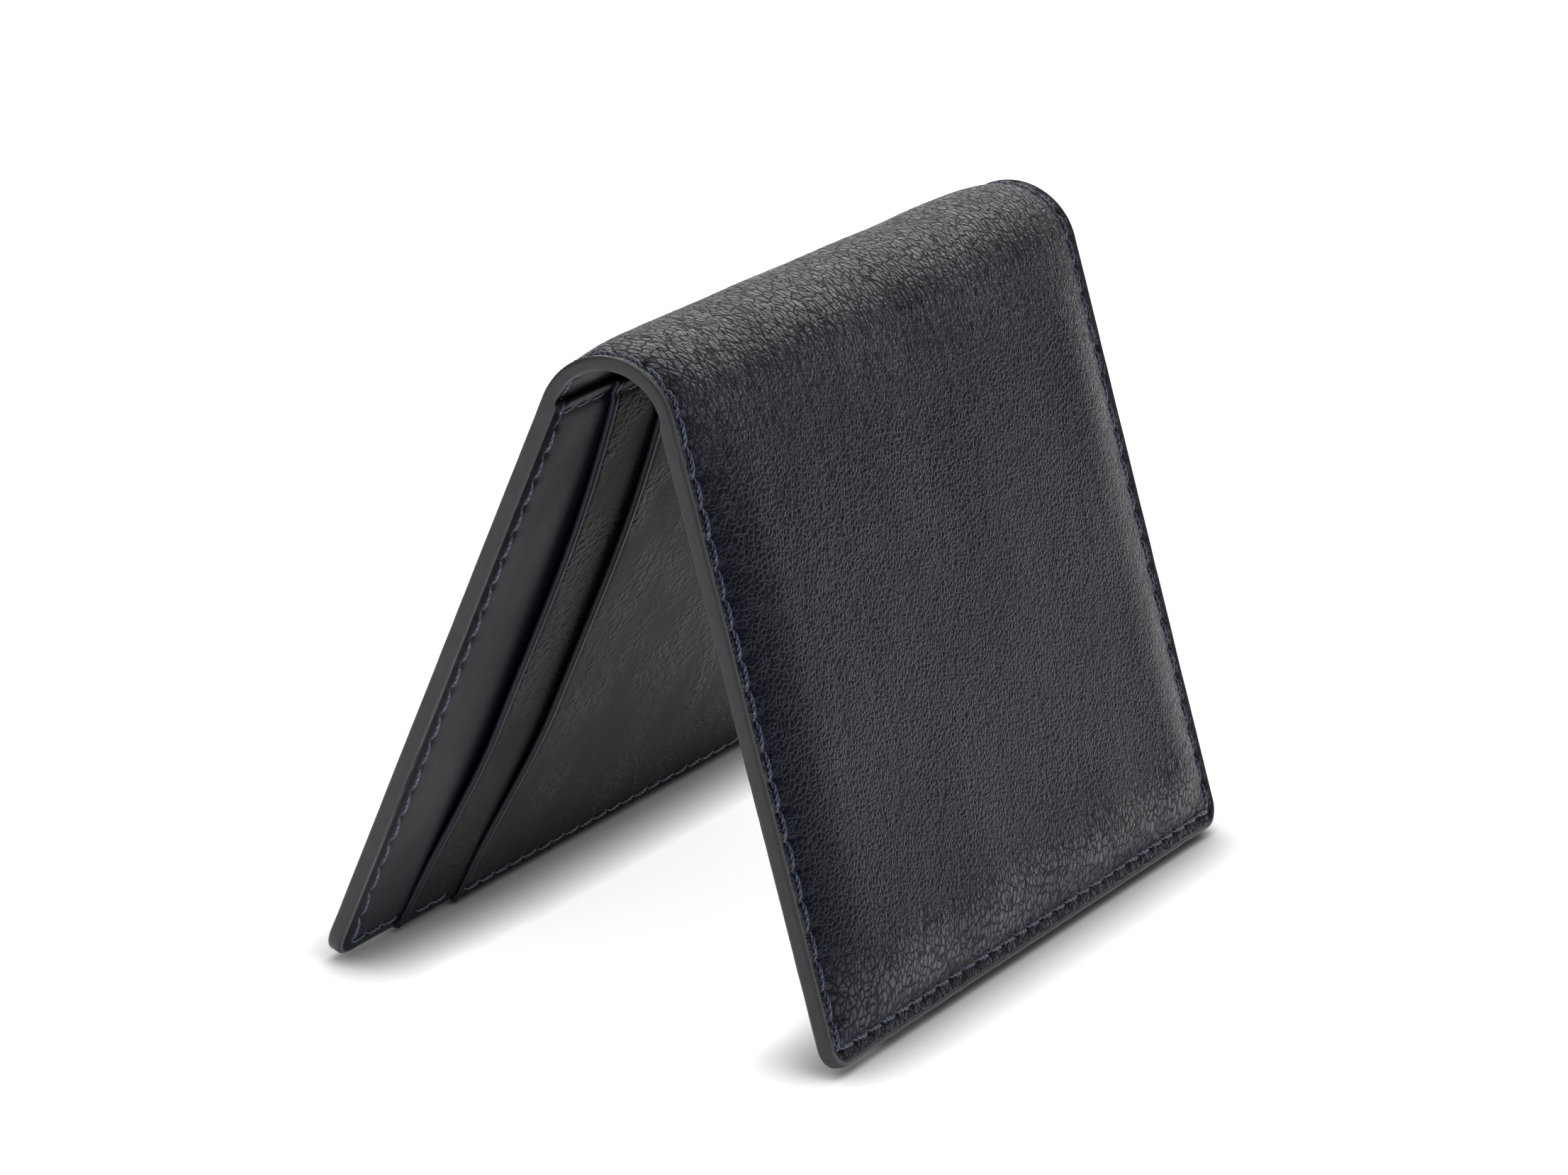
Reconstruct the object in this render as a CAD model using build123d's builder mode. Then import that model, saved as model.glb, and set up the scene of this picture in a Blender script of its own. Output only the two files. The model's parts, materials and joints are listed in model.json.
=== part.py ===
"""A bifold leather wallet standing as a tent on the two free edges of its panels.

Frame: the origin is on the floor under the middle of the fold, +Z is up, the fold runs
along Y and the front panel leans towards +X. In the hand the fold is upright, the -Y edge
is the wallet's top edge, and the card pockets open towards it. All sizes are millimetres.

A panel's layers are placed by their depth below its outer face. The leather that bends
round the fold is cut into strips along Y, joined by hinge lines on its outer face.
"""
import os
from math import cos, degrees, radians, sin, tan

from build123d import *

# Driving dimensions: the whole wallet
fold_length = 105.0
flat_length = 74.0
fold_radius = 8.5
panel_lean = 19.5
corner_radius = 3.0
strip_count = 2

# Driving dimensions: the layers, from the outside in
shell_thickness = 1.0
filler_thickness = 0.3
lining_thickness = 0.6
base_thickness = 0.7
pocket_thickness = 0.6
paint_thickness = 0.35
filler_inset = 5.0

# Driving dimensions: the card pockets, the seams and their thread
first_mouth = 13.3
mouth_step = 12.2
seam_margin = 2.1
hem_margin = 1.6
strip_stitch_count = 2
side_stitch_count = 21
foot_stitch_count = 29
thread_diameter = 0.45
stitch_gap = 0.55
channel_width = 0.8

# Driving dimensions: the room between two strips, at the outer face and as a slope inwards
hinge_gap = 0.06
hinge_relief = 7.2

# Worked out: depths and places across a panel
lining_face = shell_thickness + lining_thickness
base_face = lining_face + base_thickness
first_pocket_face = base_face + pocket_thickness
second_pocket_face = first_pocket_face + pocket_thickness
half_fold = fold_length / 2
panel_edge = half_fold - paint_thickness
seam_y = half_fold - seam_margin
first_mouth_y = first_mouth - half_fold
second_mouth_y = first_mouth_y + mouth_step
hem_height = flat_length - hem_margin

# Worked out: the bend, its strips and the stitches that fit them
bend_angle = 180 - 2 * panel_lean
strip_angle = bend_angle / (strip_count + 1)
bend_pitch_angle = strip_angle / strip_stitch_count
bend_pitch = radians(bend_pitch_angle) * fold_radius
side_pitch = (flat_length - seam_margin) / side_stitch_count
foot_pitch = 2 * seam_y / foot_stitch_count

# Worked out: where the panels stand, with the innermost pocket's edge on the floor
lean_cos = cos(radians(panel_lean))
lean_sin = sin(radians(panel_lean))
fold_height = flat_length * lean_cos - (fold_radius - second_pocket_face) * lean_sin
foot_x = fold_radius * lean_cos + flat_length * lean_sin
foot_z = second_pocket_face * lean_sin
fold_centre = (0, fold_height)

BACK = -1
FRONT = 1


def panel_plane(side, outer_depth, inner_depth):
    """The plane that a panel's layer grows from: local x is +Y and local y is up the panel."""
    depth = inner_depth if side == FRONT else outer_depth
    origin = (side * (foot_x - depth * lean_cos), 0, foot_z - depth * lean_sin)
    return Plane(origin=origin, x_dir=(0, 1, 0), z_dir=(lean_cos, 0, side * lean_sin))


def panel_window(near_y):
    """Cuts the sketch being drawn down to the panel, from near_y to its far edge."""
    with Locations(((near_y + half_fold) / 2, flat_length / 2)):
        Rectangle(half_fold - near_y, flat_length, mode=Mode.INTERSECT)


def panel_outline(side, outer_depth, inner_depth, near_y=-half_fold):
    """A layer's outline inside the edge paint, from near_y to the far edge."""
    with BuildSketch(panel_plane(side, outer_depth, inner_depth)) as outline:
        with Locations((0, flat_length)):
            RectangleRounded(
                2 * panel_edge,
                2 * (flat_length - paint_thickness),
                corner_radius - paint_thickness,
            )
        panel_window(near_y)
    return outline.sketch


def paint_outline(side, outer_depth, inner_depth, near_y=-half_fold):
    """The edge paint round a layer's free edges, from near_y to the far edge."""
    with BuildSketch(panel_plane(side, outer_depth, inner_depth)) as ring:
        with Locations((0, flat_length)):
            RectangleRounded(fold_length, 2 * flat_length, corner_radius)
            RectangleRounded(
                2 * panel_edge,
                2 * (flat_length - paint_thickness),
                corner_radius - paint_thickness,
                mode=Mode.SUBTRACT,
            )
        panel_window(near_y)
    return ring.sketch


def filler_outline(side):
    """The outline of the board that stiffens a panel, clear of its seams."""
    top = shell_thickness - filler_thickness
    with BuildSketch(panel_plane(side, top, shell_thickness)) as outline:
        with Locations((0, flat_length / 2)):
            RectangleRounded(
                fold_length - 2 * filler_inset,
                flat_length - 2 * filler_inset,
                corner_radius,
            )
    return outline.sketch


def seam_channels(side, outer_depth, near_y, far_y, side_seams):
    """Channels pressed by the seam along the foot, from near_y to far_y, and up the sides."""
    inner_depth = outer_depth + thread_diameter
    height = flat_length - seam_margin + channel_width / 2
    with BuildSketch(panel_plane(side, outer_depth, inner_depth)) as channels:
        with Locations(((near_y + far_y) / 2, seam_margin)):
            Rectangle(far_y - near_y, channel_width)
        for y in side_seams:
            with Locations((y, flat_length - height / 2)):
                Rectangle(channel_width, height)
    return channels.sketch


def hem_channel(side, outer_depth, near_y, far_y):
    """The channel pressed by the hem along the pockets' fold side, between two places."""
    with BuildSketch(panel_plane(side, outer_depth, outer_depth + thread_diameter)) as hem:
        with Locations(((near_y + far_y) / 2, hem_height)):
            Rectangle(far_y - near_y, channel_width)
    return hem.sketch


def row_centres(near_y, far_y):
    """The middles of the stitches along Y that lie whole between two places."""
    reach = (foot_pitch - stitch_gap) / 2
    centres = [foot_pitch * (step + 0.5) - seam_y for step in range(foot_stitch_count)]
    return [y for y in centres if near_y < y - reach and y + reach < far_y]


def side_stitches(side, outer_depth, side_seams):
    """The stitches up the flat of a panel, along the given side seams."""
    middles = [flat_length - side_pitch * (step + 0.5) for step in range(side_stitch_count)]
    centres = [(y, middle) for y in side_seams for middle in middles]
    inner_depth = outer_depth + thread_diameter
    with BuildSketch(panel_plane(side, outer_depth, inner_depth)) as stitches:
        with Locations(*centres):
            SlotOverall(side_pitch - stitch_gap, thread_diameter, rotation=90)
    return stitches.sketch


def row_stitches(side, outer_depth, height, near_y, far_y):
    """A row of stitches along Y at one height up a panel, between two places."""
    centres = [(y, height) for y in row_centres(near_y, far_y)]
    inner_depth = outer_depth + thread_diameter
    with BuildSketch(panel_plane(side, outer_depth, inner_depth)) as stitches:
        with Locations(*centres):
            SlotOverall(foot_pitch - stitch_gap, thread_diameter)
    return stitches.sketch


def bend_band(plane, outer_depth, inner_depth, outer_ends, inner_ends):
    """The outline between two depths of the bend, given each depth's pair of end angles.

    Arc angles are counted round the bend from the back panel.
    """
    with BuildSketch(plane) as band:
        with BuildLine():
            arcs = []
            for depth, (start, end) in ((outer_depth, outer_ends), (inner_depth, inner_ends)):
                first = 180 - panel_lean - start
                arcs.append(CenterArc(fold_centre, fold_radius - depth, first, start - end))
            Line(arcs[0] @ 0, arcs[1] @ 0)
            Line(arcs[0] @ 1, arcs[1] @ 1)
        make_face()
    return band.sketch


def bend_sector(start, end, outer_depth, inner_depth, plane=Plane.XZ):
    """The outline of a body's share of the bend, between two arc angles.

    An end on a hinge line stands back from it, further at the inside, so that the bend
    can close. An end at a panel meets the panel's own layer.
    """
    ends = []
    for depth in (outer_depth, inner_depth):
        room = hinge_gap + depth * tan(radians(hinge_relief))
        trim = degrees(room / (fold_radius - depth))
        first = start if start == 0 else start + trim
        last = end if end == bend_angle else end - trim
        ends.append((first, last))
    return bend_band(plane, outer_depth, inner_depth, *ends)


def panel_range(side):
    """The stretch of the bend that moves with a panel, as two arc angles."""
    if side == BACK:
        return 0, strip_angle / 2
    return bend_angle - strip_angle / 2, bend_angle


def strip_range(number):
    """The stretch of the bend that a strip makes, as two arc angles."""
    return strip_angle * (number - 0.5), strip_angle * (number + 0.5)


def bend_channel(start, end, y, outer_depth):
    """The channel that one seam presses into the bend, ready to grow along -Y."""
    plane = Plane.XZ.offset(-y - channel_width / 2)
    ends = (start, end)
    return bend_band(plane, outer_depth, outer_depth + thread_diameter, ends, ends)


def bend_stitches(start, end, y, outer_depth):
    """The stitches of one seam between two arc angles, ready to grow along -Y."""
    plane = Plane.XZ.offset(-y - thread_diameter / 2)
    reach = degrees((bend_pitch - stitch_gap) / 2 / fold_radius)
    stitches = []
    for step in range(round((end - start) / bend_pitch_angle)):
        middle = start + bend_pitch_angle * (step + 0.5)
        ends = (middle - reach, middle + reach)
        inner_depth = outer_depth + thread_diameter
        stitches.append(bend_band(plane, outer_depth, inner_depth, ends, ends))
    return stitches


def save(piece, label):
    """Names a finished piece and writes it to its own file."""
    piece.part.label = label
    export_step(piece.part, f"parts/{label}.step")


def make_shell(side, name):
    """A panel's outer leather with its end of the bend, hollowed inside for the filler."""
    start, end = panel_range(side)
    with BuildPart() as shell:
        extrude(panel_outline(side, 0, shell_thickness), amount=shell_thickness)
        extrude(bend_sector(start, end, 0, shell_thickness), amount=panel_edge, both=True)
        extrude(filler_outline(side), amount=filler_thickness, mode=Mode.SUBTRACT)
        extrude(
            seam_channels(side, 0, -seam_y, seam_y, (-seam_y, seam_y)),
            amount=thread_diameter,
            mode=Mode.SUBTRACT,
        )
        for y in (-seam_y, seam_y):
            channel = bend_channel(start, end, y, 0)
            extrude(channel, amount=channel_width, mode=Mode.SUBTRACT)
    save(shell, f"{name}_shell")


def make_filler(side, name):
    """The thin board glued into the hollow of the shell."""
    with BuildPart() as filler:
        extrude(filler_outline(side), amount=filler_thickness)
    save(filler, f"{name}_filler")


def make_lining(side, name):
    """A panel's lining with its end of the bend."""
    start, end = panel_range(side)
    with BuildPart() as lining:
        extrude(
            panel_outline(side, shell_thickness, lining_face),
            amount=lining_thickness,
        )
        extrude(
            bend_sector(start, end, shell_thickness, lining_face),
            amount=panel_edge,
            both=True,
        )
        for y in (-seam_y, seam_y):
            channel = bend_channel(start, end, y, lining_face - thread_diameter)
            extrude(channel, amount=channel_width, mode=Mode.SUBTRACT)
    save(lining, f"{name}_lining")


def make_base_panel(side, name):
    """The leather that the card pockets are sewn to, open to the lining at the fold side."""
    channel_depth = base_face - thread_diameter
    channels = seam_channels(side, channel_depth, -seam_y, first_mouth_y, (-seam_y,))
    hem = hem_channel(side, channel_depth, -seam_y, first_mouth_y)
    with BuildPart() as base:
        extrude(panel_outline(side, lining_face, base_face), amount=base_thickness)
        extrude(channels, amount=thread_diameter, mode=Mode.SUBTRACT)
        extrude(hem, amount=thread_diameter, mode=Mode.SUBTRACT)
    save(base, f"{name}_base_panel")


def make_first_pocket(side, name):
    """The card pocket whose mouth is nearest the top edge."""
    channel_depth = first_pocket_face - thread_diameter
    channels = seam_channels(side, channel_depth, first_mouth_y, second_mouth_y, ())
    hem = hem_channel(side, channel_depth, first_mouth_y, second_mouth_y)
    with BuildPart() as pocket:
        extrude(
            panel_outline(side, base_face, first_pocket_face, first_mouth_y),
            amount=pocket_thickness,
        )
        extrude(channels, amount=thread_diameter, mode=Mode.SUBTRACT)
        extrude(hem, amount=thread_diameter, mode=Mode.SUBTRACT)
    save(pocket, f"{name}_first_pocket")


def make_second_pocket(side, name):
    """The innermost card pocket, one step further from the top edge."""
    channel_depth = second_pocket_face - thread_diameter
    channels = seam_channels(side, channel_depth, second_mouth_y, seam_y, (seam_y,))
    hem = hem_channel(side, channel_depth, second_mouth_y, seam_y)
    with BuildPart() as pocket:
        extrude(
            panel_outline(side, first_pocket_face, second_pocket_face, second_mouth_y),
            amount=pocket_thickness,
        )
        extrude(channels, amount=thread_diameter, mode=Mode.SUBTRACT)
        extrude(hem, amount=thread_diameter, mode=Mode.SUBTRACT)
    save(pocket, f"{name}_second_pocket")


def make_edge_paint(side, name):
    """The paint that seals a panel's cut edges, stepped where the pockets thicken it."""
    start, end = panel_range(side)
    with BuildPart() as paint:
        extrude(paint_outline(side, 0, base_face), amount=base_face)
        extrude(
            paint_outline(side, base_face, first_pocket_face, first_mouth_y),
            amount=pocket_thickness,
        )
        extrude(
            paint_outline(side, first_pocket_face, second_pocket_face, second_mouth_y),
            amount=pocket_thickness,
        )
        for y in (panel_edge, -half_fold):
            sector = bend_sector(start, end, 0, lining_face, Plane.XZ.offset(y))
            extrude(sector, amount=paint_thickness)
    save(paint, f"{name}_edge_paint")


def make_outer_stitches(side, name):
    """The seam's stitches on a panel's outer face and its end of the bend."""
    start, end = panel_range(side)
    with BuildPart() as stitches:
        extrude(side_stitches(side, 0, (-seam_y, seam_y)), amount=thread_diameter)
        extrude(
            row_stitches(side, 0, seam_margin, -half_fold, half_fold),
            amount=thread_diameter,
        )
        for y in (-seam_y, seam_y):
            for stitch in bend_stitches(start, end, y, 0):
                extrude(stitch, amount=thread_diameter)
    save(stitches, f"{name}_outer_stitches")


def make_inner_stitches(side, name):
    """The same seam's stitches on the inside, stepping up over the card pockets."""
    start, end = panel_range(side)
    lining_top = lining_face - thread_diameter
    base_top = base_face - thread_diameter
    first_top = first_pocket_face - thread_diameter
    second_top = second_pocket_face - thread_diameter
    rows = (
        (base_top, -half_fold, first_mouth_y),
        (first_top, first_mouth_y, second_mouth_y),
        (second_top, second_mouth_y, half_fold),
    )
    with BuildPart() as stitches:
        extrude(side_stitches(side, base_top, (-seam_y,)), amount=thread_diameter)
        extrude(side_stitches(side, second_top, (seam_y,)), amount=thread_diameter)
        for depth, near_y, far_y in rows:
            extrude(
                row_stitches(side, depth, seam_margin, near_y, far_y),
                amount=thread_diameter,
            )
        for y in (-seam_y, seam_y):
            for stitch in bend_stitches(start, end, y, lining_top):
                extrude(stitch, amount=thread_diameter)
    save(stitches, f"{name}_inner_stitches")


def make_hem_stitches(side, name):
    """The stitches that hold the pockets together along their fold side."""
    rows = (
        (base_face, -seam_y, first_mouth_y),
        (first_pocket_face, first_mouth_y, second_mouth_y),
        (second_pocket_face, second_mouth_y, seam_y),
    )
    with BuildPart() as stitches:
        for face_depth, near_y, far_y in rows:
            extrude(
                row_stitches(side, face_depth - thread_diameter, hem_height, near_y, far_y),
                amount=thread_diameter,
            )
    save(stitches, f"{name}_hem_stitches")


def make_panel(side, name):
    """All the pieces of one panel."""
    make_shell(side, name)
    make_filler(side, name)
    make_lining(side, name)
    make_base_panel(side, name)
    make_first_pocket(side, name)
    make_second_pocket(side, name)
    make_edge_paint(side, name)
    make_outer_stitches(side, name)
    make_inner_stitches(side, name)
    make_hem_stitches(side, name)


def make_strip_layer(number, label, outer_depth, inner_depth, channel_depth):
    """One leather layer of a strip of the bend, with its two seam channels."""
    start, end = strip_range(number)
    with BuildPart() as strip:
        extrude(
            bend_sector(start, end, outer_depth, inner_depth),
            amount=panel_edge,
            both=True,
        )
        for y in (-seam_y, seam_y):
            channel = bend_channel(start, end, y, channel_depth)
            extrude(channel, amount=channel_width, mode=Mode.SUBTRACT)
    save(strip, f"{label}_{number}")


def make_strip_paint(number):
    """The edge paint on the two ends of a strip of the bend."""
    start, end = strip_range(number)
    with BuildPart() as paint:
        for y in (panel_edge, -half_fold):
            sector = bend_sector(start, end, 0, lining_face, Plane.XZ.offset(y))
            extrude(sector, amount=paint_thickness)
    save(paint, f"spine_edge_paint_{number}")


def make_strip_stitches(number):
    """The stitches on a strip of the bend, outside and inside in each seam."""
    start, end = strip_range(number)
    places = [(y, depth) for y in (-seam_y, seam_y) for depth in (0, lining_face - thread_diameter)]
    with BuildPart() as stitches:
        for y, outer_depth in places:
            for stitch in bend_stitches(start, end, y, outer_depth):
                extrude(stitch, amount=thread_diameter)
    save(stitches, f"spine_stitches_{number}")


os.makedirs("parts", exist_ok=True)
make_panel(BACK, "back")
make_panel(FRONT, "front")
for strip_number in range(1, strip_count + 1):
    make_strip_layer(strip_number, "spine_shell", 0, shell_thickness, 0)
    make_strip_layer(
        strip_number,
        "spine_lining",
        shell_thickness,
        lining_face,
        lining_face - thread_diameter,
    )
    make_strip_paint(strip_number)
    make_strip_stitches(strip_number)
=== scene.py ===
"""The looks of a bifold leather wallet that stands as a tent, built round its CAD frame.

Sizes are millimetres until the points are made, in metres. A place on the wallet is given
by s, the arc length round the outside from the middle of the fold (negative on the back
panel), by y along the fold, and by its depth below the outer face of the leather.
"""

import json
from math import asin, cos, pi, radians, sin

import bpy
import numpy as np
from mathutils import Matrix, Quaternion, Vector


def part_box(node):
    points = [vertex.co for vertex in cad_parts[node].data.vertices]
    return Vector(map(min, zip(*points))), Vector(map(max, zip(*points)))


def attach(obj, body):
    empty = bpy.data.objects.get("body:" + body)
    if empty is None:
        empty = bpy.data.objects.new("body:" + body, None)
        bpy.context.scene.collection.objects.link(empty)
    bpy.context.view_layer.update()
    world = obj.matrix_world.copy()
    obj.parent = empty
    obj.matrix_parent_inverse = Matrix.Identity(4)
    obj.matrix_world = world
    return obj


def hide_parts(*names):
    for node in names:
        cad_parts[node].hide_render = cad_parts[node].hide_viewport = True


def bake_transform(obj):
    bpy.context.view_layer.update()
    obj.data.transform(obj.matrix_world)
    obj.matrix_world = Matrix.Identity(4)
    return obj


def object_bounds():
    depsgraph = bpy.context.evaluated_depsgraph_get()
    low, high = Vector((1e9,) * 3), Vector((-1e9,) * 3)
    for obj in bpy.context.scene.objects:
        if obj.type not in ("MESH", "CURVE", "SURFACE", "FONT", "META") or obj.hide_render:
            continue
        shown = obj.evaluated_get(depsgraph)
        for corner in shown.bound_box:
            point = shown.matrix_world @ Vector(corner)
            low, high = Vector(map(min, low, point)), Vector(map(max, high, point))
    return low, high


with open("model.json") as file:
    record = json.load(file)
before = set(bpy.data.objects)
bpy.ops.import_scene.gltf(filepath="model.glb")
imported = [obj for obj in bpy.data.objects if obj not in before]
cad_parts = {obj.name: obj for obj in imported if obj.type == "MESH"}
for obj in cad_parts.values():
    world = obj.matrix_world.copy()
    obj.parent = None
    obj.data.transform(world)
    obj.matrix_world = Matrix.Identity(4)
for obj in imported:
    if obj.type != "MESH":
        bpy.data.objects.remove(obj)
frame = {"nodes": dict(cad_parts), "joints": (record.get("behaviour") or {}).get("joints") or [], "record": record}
cad_low, cad_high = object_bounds()

MM = 0.001
BACK = -1
FRONT = 1
SIDES = {BACK: "back", FRONT: "front"}

# From the frame: the fold, the panels and the seams
front_face = next(m for m in frame["record"]["mounts"] if m["name"] == "front_face")
face_point = np.array(front_face["pos_m"]) / MM
face_normal = np.array(front_face["axis"])
lean_cos = face_normal[0]
lean_sin = face_normal[2]
hinges = [np.array(joint["pos_m"]) / MM for joint in frame["joints"]]
hinge_drop = hinges[1][2] - hinges[2][2]
fold_radius = (hinges[2][0] ** 2 + hinge_drop ** 2) / (2 * hinge_drop)
fold_height = hinges[1][2] - fold_radius
half_fold = cad_high.y / MM
flat_length = (cad_high.x / MM - fold_radius * lean_cos) / lean_sin
half_bend = fold_radius * (pi / 2 - asin(lean_sin))
reach = half_bend + flat_length
strip_arc = 2 * half_bend / len(hinges)
first_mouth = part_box("front_first_pocket")[0].y / MM
second_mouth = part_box("front_second_pocket")[0].y / MM
stitch_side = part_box("spine_stitches_1")[1].y / MM


def node_depths(node):
    """The least and greatest depth of one of the front panel's flat nodes."""
    points = np.array([v.co for v in frame["nodes"][node].data.vertices]) / MM
    depths = (face_point - points) @ face_normal
    return depths.min(), depths.max()


# From the frame: the layers' depths
filler_face, filler_back = node_depths("front_filler")
lining_face, base_face = node_depths("front_base_panel")
first_face = node_depths("front_first_pocket")[1]
second_face = node_depths("front_second_pocket")[1]
pocket_thickness = second_face - first_face

# Driving dimensions: the outer leather
corner_radius = 3.0
side_crown_width = 11.0
foot_crown_width = 7.5
crown = 1.7
crown_lost_on_ridge = 0.6
crown_added_by_foot = 0.15
wave_height = 0.10
wave_added_by_foot = 0.2
fold_line_depth = 0.055
long_line_depth = 0.02
rim_line_depth = 0.045
shoulder_drop = 0.28
shoulder_width = 1.0
board_clearance = 0.03
ridge_lap = 0.18
ridge_lap_sunk = 0.012
outline_zone = 5.0
sharp_angle = 60

# Driving dimensions: the lining
lining_pull = 0.6
lining_fold_height = 0.09
lining_wave = 0.05

# Driving dimensions: the seam's groove, and how it pulls the leather in beside it
groove_width = 0.45
groove_depth = 0.15
groove_added_at_hole = 0.22
pull_width = 1.4
side_pull = 0.07
side_pull_added_at_hole = 0.20
foot_pull = 0.09
foot_pull_added_at_hole = 0.11
hole_spread = 0.6
seam_fade = 0.6

# Driving dimensions: the painted edges
paint_inset = 0.3
paint_lap = 0.78
paint_lap_start = 0.62
paint_lap_depth = 0.15
paint_lap_start_depth = 0.02
paint_shoulder = 0.5
paint_proud = 0.03
paint_waver = 0.035
paint_ridge_lap = 0.1
thickness_step = 0.5

# Driving dimensions: the pockets
first_gape = 0.8
first_gape_reach = 20
second_gape = 0.55
second_gape_reach = 24
mouth_bow = 3.0
fold_slack_end = 0.8
fold_slack_run = 27
foot_slack_end = 1
foot_slack_run = 26
lip_width = 0.70
lip_crease = 0.98
lip_crease_width = 0.13
mouth_groove = 1.15
mouth_groove_width = 0.18
mouth_groove_depth = 0.07
mouth_roll = 0.55
mouth_roll_width = 0.35
rim_dip = 0.4
rim_dip_width = 0.75
rim_dip_fade = 0.9
inner_pull_share = 0.5
far_seam_pull_share = 0.85
hem_groove_depth = 0.2
hem_groove_width = 0.4
hem_pull = 0.12
hem_pull_width = 1.0
cut_end_drop = 0.22
cut_end_width = 0.35
base_wave = 0.05
pocket_wave = 0.04
pocket_sharp_angle = 87
base_panel_lap = 0.02
pocket_start = 0.02

# Driving dimensions: the thread
cad_thread_radius = 0.225
thread_radius = 0.29
inner_thread_share = 0.8
plies = 3
ply_core = 0.88
ply_height = 0.14
twist_pitch = 2.3
outer_thread_proud = 0.10
loose_spread = 0.04
hole_dip = 0.52
hole_dip_power = 3.2
stitch_steps = 33
ring_points = 16
stitch_slant = 0.2
slant_spread = 0.25
side_stitches = 21
foot_stitches = 29
bend_stitches = 6
hem_margin = 1.6

# Worked out: the seam
seam_y = stitch_side - cad_thread_radius
seam_margin = half_fold - seam_y
bend_pitch = 2 * half_bend / bend_stitches
side_pitch = (flat_length - seam_margin) / side_stitches
foot_pitch = 2 * seam_y / foot_stitches


# ---------------------------------------------------------------- points and noise


def place(s, y, depth):
    """The points, in metres, at these places on the wallet."""
    s, y, depth = np.broadcast_arrays(s, y, depth)
    arc = np.clip(s, -half_bend, half_bend)
    straight = s - arc
    angle = arc / fold_radius
    x = (fold_radius - depth) * np.sin(angle) + straight * np.cos(angle)
    z = fold_height + (fold_radius - depth) * np.cos(angle) - straight * np.sin(angle)
    return np.stack([x, y, z], axis=-1) * MM


def ease(x):
    """0 below 0, 1 above 1, and a smooth step between."""
    x = np.clip(x, 0, 1)
    return x * x * (3 - 2 * x)


def bump(x, width):
    """A bell of height 1 and about this half width."""
    return np.exp(-((x / width) ** 2))


def noise(u, v, seed):
    """Smooth noise from -1 to 1 that changes about once per unit of u and v."""
    cells = np.random.default_rng(seed).uniform(-1, 1, (256, 256))
    column, row = np.floor(u).astype(int), np.floor(v).astype(int)
    a, b = ease(u - column), ease(v - row)
    corner = [[cells[(column + i) % 256, (row + j) % 256] for j in (0, 1)] for i in (0, 1)]
    low = corner[0][0] * (1 - b) + corner[0][1] * b
    high = corner[1][0] * (1 - b) + corner[1][1] * b
    return low * (1 - a) + high * a


def creases(u, v, seed, width):
    """Thin wavering lines, 1 along the line and 0 away from it."""
    bent_u = u + 0.6 * noise(0.7 * u + 9, 0.7 * v, seed + 1)
    bent_v = v + 0.6 * noise(0.7 * u, 0.7 * v + 5, seed + 2)
    return bump(noise(bent_u, bent_v, seed), width)


def graded(low, high, fine, coarse, low_zone, high_zone):
    """Coordinates from low to high, fine within a zone of each end and coarse between."""
    parts = []
    stops = [low, low + low_zone, high - high_zone, high]
    for start, end, step in zip(stops, stops[1:], (fine, coarse, fine)):
        if end > start:
            parts.append(np.linspace(start, end, max(2, round((end - start) / step) + 1)))
    return np.unique(np.round(np.concatenate(parts), 4))


# ---------------------------------------------------------------- meshes


def new_piece(name, points, faces, material, grain, mark, sharp):
    """A closed smooth mesh, turned so that its faces look outwards.

    grain is each point's place in the texture. mark is how far it is worn or opened up, which
    also places painted highlights and sheen, or on thread which ply is on top, which places
    painted shade between the plies. Edges that turn more than sharp degrees stay sharp.
    """
    mesh = bpy.data.meshes.new(name)
    mesh.from_pydata(points.reshape(-1, 3).tolist(), [], faces)
    mesh.calc_loop_triangles()
    triangles = np.zeros(len(mesh.loop_triangles) * 3, np.int32)
    mesh.loop_triangles.foreach_get("vertices", triangles)
    a, b, c = (points.reshape(-1, 3)[triangles[k::3]] for k in range(3))
    if (a * np.cross(b, c)).sum() < 0:
        mesh.flip_normals()
    mesh.shade_smooth()
    mesh.set_sharp_from_angle(angle=radians(sharp))
    attribute = mesh.attributes.new("grain", "FLOAT_VECTOR", "POINT")
    attribute.data.foreach_set("vector", grain.astype(np.float32).ravel())
    attribute = mesh.attributes.new("mark", "FLOAT", "POINT")
    attribute.data.foreach_set("value", mark.astype(np.float32).ravel())
    mesh.materials.append(material)
    piece = bpy.data.objects.new(name, mesh)
    bpy.context.scene.collection.objects.link(piece)
    return piece


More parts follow.
